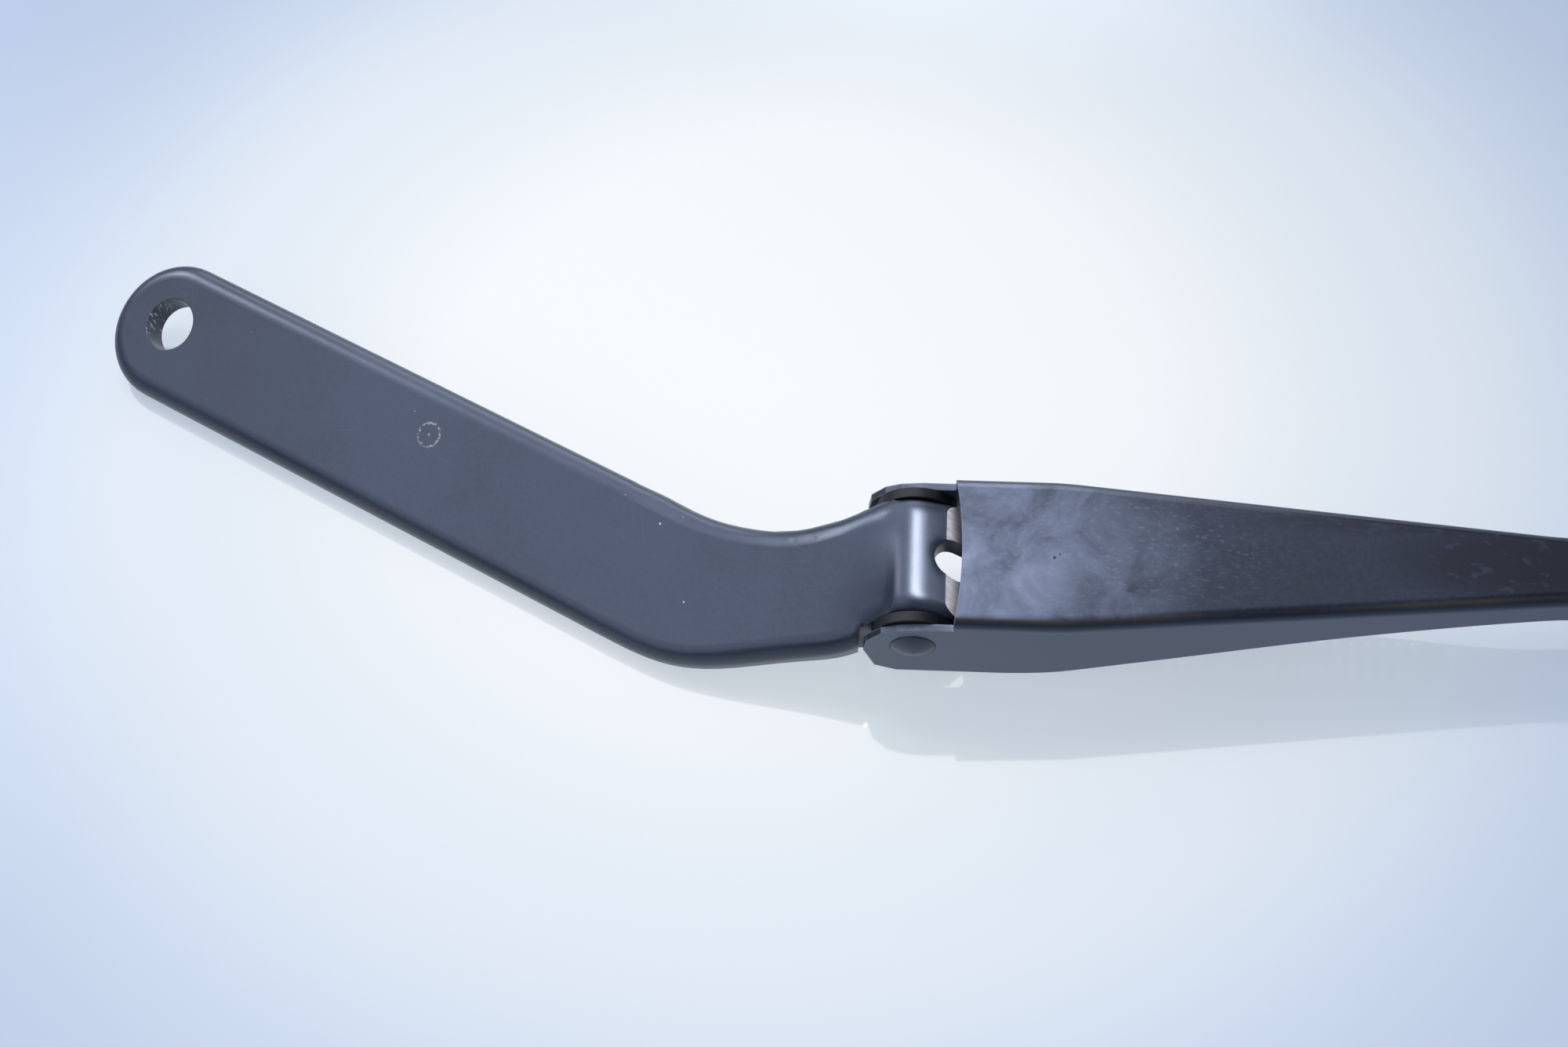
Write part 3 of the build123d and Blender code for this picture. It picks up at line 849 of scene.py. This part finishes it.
@dataclass(frozen=True)
class GlossyTable:
    """White table: a milky sheet with a painted glow, under a polished face that mirrors the arm.

    The painted glow lightens the table whatever falls on it and keeps the arm's shadow thin. The sheet is
    painted brightest at one spot, a painted pool of light, and falls off to a bluish white round it.
    """

    name: str = "glossy_table"
    # Centre of the painted pool of light on the sheet
    painted_light_spot: Span = (-24.0, 55.0)
    fall_off: float = 660.0
    tones: tuple[tuple[float, str], ...] = (
        (0.0, "#F9FDFF"),
        (0.10, "#F7FCFF"),
        (0.15, "#EAF1F9"),
        (0.19, "#E3ECF7"),
        (0.213, "#DAE5F5"),
        (0.23, "#D1DEF2"),
        (0.26, "#C7D4EC"),
        (0.31, "#BDCDE8"),
        (0.50, "#C4D2EA"),
        (1.0, "#D2DDEF"),
    )
    face_tint: str = "#F9EFDD"
    mirror_share: float = 0.34
    mirror_roughness: float = 0.045
    smear_spread: float = 0.02
    smear_mm: float = 1000 / 9
    # The painted glow: its tint, share and strength
    glow_tint: str = "#F0F6FF"
    glow_share: float = 0.58
    glow_strength: float = 1.05

    def material(self) -> bpy.types.Material:
        """Build the material.

        Returns:
            The node material of the table top.
        """
        made, tree = new_material(self.name)
        place = add_node(tree, "ShaderNodeTexCoord").outputs["Object"]
        sheet = self._sheet(tree, place)
        layers = {"Fac": self.glow_share, 1: self._face(tree, place, sheet), 2: self._painted_glow(tree, sheet)}
        mixed = add_node(tree, "ShaderNodeMixShader", layers)
        add_node(tree, "ShaderNodeOutputMaterial", {"Surface": mixed.outputs[0]})
        return made

    def _sheet(self, tree: Tree, place: Socket) -> Socket:
        """Colour the sheet by its distance from the painted light spot: a painted pool of light.

        Args:
            tree: The material's node tree.
            place: Object coordinates.

        Returns:
            The sheet's colour.
        """
        from_spot = {0: place, 1: (*metres(self.painted_light_spot), 0.0)}
        away = add_node(tree, "ShaderNodeVectorMath", from_spot, operation="DISTANCE").outputs["Value"]
        ramp = add_node(tree, "ShaderNodeValToRGB", {"Fac": band(tree, away, 0.0, self.fall_off * MM)})
        stops = ramp.color_ramp.elements
        while len(stops) < len(self.tones):
            stops.new(0.5)
        for stop, (position, tone) in zip(stops, self.tones):
            stop.position = position
            stop.color = linear(tone)
        return ramp.outputs[0]

    def _face(self, tree: Tree, place: Socket, sheet: Socket) -> Socket:
        """Build the sheet's polished face, which mirrors what lies on it through faint smears.

        Args:
            tree: The material's node tree.
            place: Object coordinates.
            sheet: The sheet's colour.

        Returns:
            The shader of the face.
        """
        noise = {"Vector": place, "Scale": 1 / (self.smear_mm * MM), "Detail": 3.0}
        haze = add_node(tree, "ShaderNodeTexNoise", noise).outputs["Fac"]
        dullest = self.mirror_roughness + self.smear_spread
        smear = band(tree, haze, *NOISE_SPAN, low=self.mirror_roughness, high=dullest)
        face = self._tinted(tree, sheet, self.face_tint)
        milky = add_node(tree, "ShaderNodeBsdfDiffuse", {"Color": face}).outputs[0]
        polished = add_node(tree, "ShaderNodeBsdfGlossy", {"Color": face, "Roughness": smear}).outputs[0]
        layers = {"Fac": self.mirror_share, 1: milky, 2: polished}
        return add_node(tree, "ShaderNodeMixShader", layers).outputs[0]

    def _painted_glow(self, tree: Tree, sheet: Socket) -> Socket:
        """Build the sheet's painted glow, which lightens the table whatever falls on it.

        Args:
            tree: The material's node tree.
            sheet: The sheet's colour.

        Returns:
            The shader of the light.
        """
        through = {"Color": self._tinted(tree, sheet, self.glow_tint), "Strength": self.glow_strength}
        return add_node(tree, "ShaderNodeEmission", through).outputs[0]

    def _tinted(self, tree: Tree, colour: Socket, tint: str) -> Socket:
        """Multiply a colour by a tint.

        Args:
            tree: The material's node tree.
            colour: The colour.
            tint: The tint, as a hex colour.

        Returns:
            The tinted colour.
        """
        both = {"Factor": 1.0, MixInput.COLOUR_A: colour, MixInput.COLOUR_B: linear(tint)}
        mixed = add_node(tree, "ShaderNodeMix", both, data_type="RGBA", blend_type="MULTIPLY")
        return mixed.outputs[MixOutput.COLOUR]


def dress(node_name: str, material: bpy.types.Material) -> None:
    """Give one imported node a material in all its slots.

    Args:
        node_name: The node's name in the frame.
        material: The material.
    """
    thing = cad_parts[node_name]
    if not thing.material_slots:
        thing.data.materials.append(material)
    for slot in thing.material_slots:
        slot.material = material
    log.info("dressed %s in %s", node_name, material.name)


def round_corners(corners: list[Vector], radius: float, steps: int = 8) -> list[Vector]:
    """Round the inner corners of a bent wire's centre line.

    Args:
        corners: The line's ends and corners.
        radius: How far before each corner the bend starts.
        steps: Places along each bend.

    Returns:
        The rounded line.
    """
    line = [corners[0]]
    for before, corner, after in zip(corners, corners[1:], corners[2:]):
        start = corner + (before - corner).normalized() * radius
        end = corner + (after - corner).normalized() * radius
        for step in range(steps + 1):
            t = step / steps
            line.append(start.lerp(corner, t).lerp(corner.lerp(end, t), t))
    return line + [corners[-1]]


def wire_mesh(name: str, line: list[Vector], radius: float, sides: int = 12) -> bpy.types.Mesh:
    """Skin a round wire along a centre line.

    Args:
        name: The mesh's name.
        line: Places along the wire's centre, in metres.
        radius: The wire's radius, in metres.
        sides: Points round the wire.

    Returns:
        The closed mesh, with flat ends.
    """
    ahead = (line[1] - line[0]).normalized()
    outward = ahead.orthogonal().normalized()
    points: list[Vector] = []
    for index, place in enumerate(line):
        before = line[max(index - 1, 0)]
        after = line[min(index + 1, len(line) - 1)]
        ahead = (after - before).normalized()
        outward = (outward - ahead * outward.dot(ahead)).normalized()
        other = ahead.cross(outward)
        for side in range(sides):
            angle = 2 * math.pi * side / sides
            points.append(place + (outward * math.cos(angle) + other * math.sin(angle)) * radius)
    faces: list[tuple[int, ...]] = []
    for ring in range(len(line) - 1):
        for side in range(sides):
            following = (side + 1) % sides
            low = ring * sides
            faces.append((low + side, low + following, low + sides + following, low + sides + side))
    faces.append(tuple(reversed(range(sides))))
    faces.append(tuple(range((len(line) - 1) * sides, len(line) * sides)))
    mesh = bpy.data.meshes.new(name)
    mesh.from_pydata(points, [], faces)
    for polygon in mesh.polygons:
        polygon.use_smooth = len(polygon.vertices) == 4
    return mesh


@dataclass
class MountingHead:
    """The cranked plate between the spindle and the hinge."""

    paint: SatinBlackPaint = SatinBlackPaint(
        name="head_stove_enamel",
        nose=PressedNose(),
        wear=(ScuffedBore(), ShearedFront()),
        patches=(
            # Painted shade: the leg's round end darker, fading out towards the neck
            WearAndPaintedLightPatch(POSE.on_head(2.0, 4.0), reach=(64.0, 34.0, 20.0), colour="#080B12", strength=0.8,
                 fleck_mm=30.0, cover=1.5, roughness=0.40, crisp=0.5),
        ),
        marks=(
            # A faint ring with a dot, rubbed through on the leg
            Mark(POSE.on_head(61.0, 3.4), 3.0, "#A39B90", 0.5, ring_width=0.26, softness=0.5, broken=True),
            Mark(POSE.on_head(61.0, 3.4), 0.4, "#8F8A82", 0.4),
            # A smudge beside the bore, a chip on the near edge and two pale specks
            Mark(POSE.on_head(18.9, 2.2), 1.8, "#222630", 0.6, softness=0.9),
            Mark(POSE.on_head(58.5, -12.6, -1.2), 0.8, "#08090B", 0.9),
            Mark(POSE.on_head(109.4, 7.6), 0.3, "#A9AEB6", 0.7),
            Mark(POSE.on_head(120.0, -2.4), 0.25, "#A9AEB6", 0.7),
            # A scratch on the neck
            Nick(POSE.on_head(142.6, 13.5), POSE.on_head(145.0, 11.6), 0.32, "#C6CCD6", 0.75),
        ),
    )

    def build(self) -> None:
        """Dress the head."""
        dress("mounting_head", self.paint.material())


@dataclass
class ChannelArm:
    """The folded sheet arm with its two ears, its top face measured up from the hinge pin."""

    top: float = 8.7
    paint: SatinBlackPaint = SatinBlackPaint(
        name="channel_stove_enamel",
        deep="#0F131D",
        rubbed="#171D2B",
        haze_amount=0.14,
        scratch_amount=0.14,
        # Side walls lightened as a painted reflection of the bright table
        painted_wall_reflection=0.42,
        # Pale edges: worn paint and a painted highlight along the cut edges
        edge_wear_and_highlight=0.9,
        bare_edge_and_highlight="#9BA2B2",
        wear=(BrassyBend(),),
        patches=(
            # Dusty haze over the rear, partly a painted reflection that lightens the rear and fades forward;
            # then two finer scatters of dust ahead of it
            WearAndPaintedLightPatch(POSE.on_arm(-6.0, -1.0, top), reach=(53.0, 34.0, 20.0), colour="#99A4C1", strength=0.88,
                 fleck_mm=9.0, cover=1.5, roughness=0.38, crisp=0.5),
            WearAndPaintedLightPatch(POSE.on_arm(22.0, 0.0, top), reach=(40.0, 18.0, 12.0), colour="#98A4C2", strength=0.16,
                 fleck_mm=2.2, cover=0.5, roughness=0.40, stretch=1.4, crisp=0.4),
            WearAndPaintedLightPatch(POSE.on_arm(28.0, 1.0, top), reach=(38.0, 16.0, 12.0), colour="#A9B3C9", strength=0.16,
                 fleck_mm=0.6, cover=0.25, roughness=0.4, stretch=2.0, crisp=0.12),
            # Wet blotches towards the blade
            WearAndPaintedLightPatch(POSE.on_arm(96.0, 0.5, top), reach=(24.0, 8.0, 6.0), colour="#06080C", strength=0.95,
                 fleck_mm=2.4, cover=1.0, roughness=0.14, stretch=1.6),
            WearAndPaintedLightPatch(POSE.on_arm(80.0, 7.0, top), reach=(34.0, 2.6, 6.0), colour="#080A0F", strength=0.85,
                 fleck_mm=1.2, cover=0.8, roughness=0.16, stretch=3.0),
        ),
        marks=(
            # Two dark chips in the top and a pale one in the near wall
            Mark(POSE.on_arm(22.4, -1.0, top), 0.45, "#0A0B0D", 0.9),
            Mark(POSE.on_arm(23.3, -0.4, top), 0.25, "#0A0B0D", 0.9),
            Mark(POSE.on_arm(28.0, -13.5, -8.6), 0.35, "#D8DBE0", 0.9),
        ),
    )

    def build(self) -> None:
        """Dress the channel."""
        dress("arm_channel", self.paint.material())


@dataclass
class Hinge:
    """The rivet through the ears and its two washers."""

    rivet_paint: SatinBlackPaint = SatinBlackPaint(name="rivet_enamel", edge_wear_and_highlight=0.15)
    washer_nylon: BlackNylon = BlackNylon()

    def build(self) -> None:
        """Dress the rivet and the washers."""
        dress("hinge_rivet", self.rivet_paint.material())
        washer = self.washer_nylon.material()
        for side in ("near", "far"):
            dress(f"hinge_washer_{side}", washer)


@dataclass
class SpringGear:
    """The link, its pin and the tension spring inside the channel."""

    link_eye: Triple = (14.020, 0.0, -3.984)
    rod_hole: Triple = (94.5, 0.0, 1.5)
    coil_radius: float = 4.0
    wire_radius: float = 0.9
    pitch: float = 2.6
    turns: float = 24.25
    places_per_turn: int = 24
    hook_bend: float = 2.2
    hook_tip: float = 5.0
    pin_steel: BareSteel = BareSteel(name="pin_steel")
    link_steel: BareSteel = BareSteel(name="link_steel", bright="#7C7A75", tarnished="#4A443C")
    spring_steel: BareSteel = BareSteel(
        name="spring_wire_steel", bright="#77777A", tarnished="#3B3833", roughness=0.28)

    def spring_line(self) -> list[Vector]:
        """Draw the centre line of the spring's wire: front hook, coil and rear hook.

        Returns:
            Places along the wire, in metres.
        """
        start = POSE.on_arm(*self.link_eye)
        finish = POSE.on_arm(*self.rod_hole)
        along = (finish - start).normalized()
        side = Vector((0.0, 1.0, 0.0))
        up = along.cross(side)
        coil_length = self.pitch * self.turns * MM
        gap = ((finish - start).length - coil_length) / 2
        radius = self.coil_radius * MM
        coil = []
        for index in range(round(self.turns * self.places_per_turn) + 1):
            angle = 2 * math.pi * index / self.places_per_turn
            advance = gap + self.pitch * MM * index / self.places_per_turn
            coil.append(start + along * advance + (side * math.cos(angle) + up * math.sin(angle)) * radius)
        tip = self.hook_tip * MM
        front = [
            start + along * tip - side * radius,
            start - side * radius,
            start + side * radius,
            coil[0] - along * self.wire_radius * MM,
        ]
        rear = [
            coil[-1] + along * self.wire_radius * MM,
            finish + up * radius,
            finish - up * radius,
            finish - up * radius - along * tip,
        ]
        bend = self.hook_bend * MM
        return round_corners(front, bend) + coil + round_corners(rear, bend)

    def build_spring(self) -> None:
        """Wind the tension spring in round wire, in place of its plain solid."""
        mesh = wire_mesh("wound_spring", self.spring_line(), self.wire_radius * MM)
        spring = bpy.data.objects.new("wound_spring", mesh)
        bpy.context.scene.collection.objects.link(spring)
        mesh.materials.append(self.spring_steel.material())
        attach(spring, "arm")
        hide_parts("tension_spring")
        log.info("wound %s with %d faces", spring.name, len(mesh.polygons))

    def build(self) -> None:
        """Dress the pin and the link, and wind the spring."""
        dress("anchor_pin", self.pin_steel.material())
        dress("spring_link", self.link_steel.material())
        self.build_spring()


@dataclass
class BladeRod:
    """The flat bar with its hook, and the rivet that holds it in the tail."""

    paint: SatinBlackPaint = SatinBlackPaint(name="rod_stove_enamel", scratch_amount=0.2)

    def build(self) -> None:
        """Dress the rod and its rivet."""
        made = self.paint.material()
        dress("arm_rod", made)
        dress("rod_rivet", made)


@dataclass(frozen=True)
class Glow:
    """One soft bright region of the room, such as a lit ceiling or a pale wall."""

    way: Triple
    edge: float
    core: float
    strength: float

    def share(self, tree: Tree, way: Socket) -> Socket:
        """Work out how brightly this region glows in a direction.

        Args:
            tree: The world's node tree.
            way: The direction.

        Returns:
            Its brightness there.
        """
        ways = {0: way, 1: Vector(self.way).normalized()}
        near = add_node(tree, "ShaderNodeVectorMath", ways, operation="DOT_PRODUCT").outputs["Value"]
        limits = {"Value": near, "From Min": self.edge, "From Max": self.core, "To Max": self.strength}
        return add_node(tree, "ShaderNodeMapRange", limits, interpolation_type="SMOOTHSTEP").outputs[0]


@dataclass(frozen=True)
class StudioSky:
    """A dim bluish room, its ceiling lit behind and before the table, with two pale walls."""

    name: str = "studio_sky"
    tint: str = "#EEF2FC"
    room: float = 0.22
    far_ceiling: Glow = Glow(way=(-0.40, 0.52, 0.75), edge=0.68, core=0.95, strength=1.35)
    near_ceiling: Glow = Glow(way=(-0.55, -0.35, 0.75), edge=0.84, core=0.97, strength=1.25)
    left_wall: Glow = Glow(way=(-0.66, 0.60, 0.44), edge=0.93, core=0.985, strength=1.2)
    far_wall: Glow = Glow(way=(0.0, 0.97, 0.24), edge=0.95, core=0.99, strength=3.0)
    backdrop: str = "#DCE5F4"

    def build(self) -> None:
        """Build the world, seen by the camera as a plain pale backdrop."""
        world = bpy.data.worlds.new(self.name)
        bpy.context.scene.world = world
        world.use_nodes = True
        tree = world.node_tree
        tree.nodes.clear()
        way = add_node(tree, "ShaderNodeTexCoord").outputs["Generated"]
        total: Socket | float = self.room
        for glow in (self.far_ceiling, self.near_ceiling, self.left_wall, self.far_wall):
            both = {0: total, 1: glow.share(tree, way)}
            total = add_node(tree, "ShaderNodeMath", both, operation="ADD").outputs[0]
        room = {"Color": linear(self.tint), "Strength": total}
        lit = add_node(tree, "ShaderNodeBackground", room).outputs[0]
        behind = {"Color": linear(self.backdrop), "Strength": 1.0}
        pale = add_node(tree, "ShaderNodeBackground", behind).outputs[0]
        seen = add_node(tree, "ShaderNodeLightPath").outputs["Is Camera Ray"]
        shown = add_node(tree, "ShaderNodeMixShader", {"Fac": seen, 1: lit, 2: pale}).outputs[0]
        add_node(tree, "ShaderNodeOutputWorld", {"Surface": shown})


@dataclass(frozen=True)
class Softbox:
    """One softbox that lights only some things, aimed at the hinge."""

    name: str
    lit: Lit
    from_pin: Triple
    size: Span
    watts: float
    mirrored: bool = True

    def build(self, things: list[bpy.types.Object]) -> None:
        """Build the softbox.

        Args:
            things: The things that it lights.
        """
        lamp = bpy.data.lights.new(self.name, "AREA")
        lamp.shape = "RECTANGLE"
        lamp.size, lamp.size_y = metres(self.size)
        lamp.energy = self.watts
        box = bpy.data.objects.new(self.name, lamp)
        box.location = POSE.on_arm(*self.from_pin)
        aim = box.location - POSE.on_arm(0.0, 0.0, 0.0)
        box.rotation_euler = aim.to_track_quat("Z", "Y").to_euler()
        box.visible_glossy = self.mirrored
        bpy.context.scene.collection.objects.link(box)
        receivers = bpy.data.collections.new(self.name + "_lights")
        for thing in things:
            receivers.objects.link(thing)
        box.light_linking.receiver_collection = receivers


@dataclass
class Studio:
    """The table, the lights and the camera."""

    table: GlossyTable = GlossyTable()
    table_size: float = 6000.0
    sky: StudioSky = StudioSky()
    softboxes: tuple[Softbox, ...] = (
        Softbox("crown_softbox", Lit.HEAD, from_pin=(215.0, 370.0, 900.0), size=(500.0, 180.0), watts=13.0),
        Softbox("leg_edge_softbox", Lit.HEAD, from_pin=(-640.0, 590.0, 490.0), size=(280.0, 280.0),
                watts=2.1),
        Softbox("arm_softbox", Lit.REST_OF_ARM, from_pin=(-120.0, 720.0, 680.0), size=(500.0, 300.0),
                watts=2.5),
        Softbox("table_softbox", Lit.TABLE, from_pin=(-240.0, 620.0, 790.0), size=(500.0, 260.0),
                watts=3.0, mirrored=False),
    )
    camera_from_pin: Triple = (-1.18, -172.93, 348.38)
    camera_right: Triple = (0.99814, 0.05112, -0.03316)
    camera_down: Triple = (0.03001, -0.88609, -0.46254)
    camera_forward: Triple = (-0.05303, 0.46068, -0.88598)
    lens: float = 54.0
    sensor: float = 36.0
    nearest: float = 10.0
    farthest: float = 50000.0

    def build_table(self) -> bpy.types.Object:
        """Build the table top.

        Returns:
            The table top.
        """
        half = self.table_size * MM / 2
        mesh = bpy.data.meshes.new("table_top")
        corners = [(-half, -half, 0), (half, -half, 0), (half, half, 0), (-half, half, 0)]
        mesh.from_pydata(corners, [], [(0, 1, 2, 3)])
        top = bpy.data.objects.new("table_top", mesh)
        top.matrix_world = POSE.table_frame()
        bpy.context.scene.collection.objects.link(top)
        mesh.materials.append(self.table.material())
        return top

    def build_lights(self, top: bpy.types.Object) -> None:
        """Build the sky and the softboxes.

        Args:
            top: The table top.
        """
        self.sky.build()
        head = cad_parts["mounting_head"]
        meshes = [thing for thing in bpy.context.scene.objects if thing.type == "MESH"]
        rest = [thing for thing in meshes if thing not in (head, top)]
        things = {Lit.HEAD: [head], Lit.REST_OF_ARM: rest, Lit.TABLE: [top]}
        for softbox in self.softboxes:
            softbox.build(things[softbox.lit])

    def build_camera(self) -> None:
        """Set the camera at the photo's viewing angle."""
        camera_lens = bpy.data.cameras.new("camera")
        camera_lens.lens = self.lens
        camera_lens.sensor_width = self.sensor
        camera_lens.clip_start = self.nearest * MM
        camera_lens.clip_end = self.farthest * MM
        camera = bpy.data.objects.new("camera", camera_lens)
        axes = (self.camera_right, -Vector(self.camera_down), -Vector(self.camera_forward))
        turn = Matrix(axes).transposed()
        camera.matrix_world = Matrix.Translation(POSE.on_arm(*self.camera_from_pin)) @ turn.to_4x4()
        bpy.context.scene.collection.objects.link(camera)
        bpy.context.scene.camera = camera

    def build(self) -> None:
        """Build the table, the lights and the camera."""
        self.build_lights(self.build_table())
        self.build_camera()
        bpy.context.scene.view_settings.view_transform = "Standard"


def main() -> None:
    """Build and dress everything in order."""
    logging.basicConfig(level=logging.INFO)
    for assembly in (MountingHead(), ChannelArm(), Hinge(), SpringGear(), BladeRod(), Studio()):
        assembly.build()
        log.info("built %s", type(assembly).__name__)


if __name__ == "__main__":
    main()
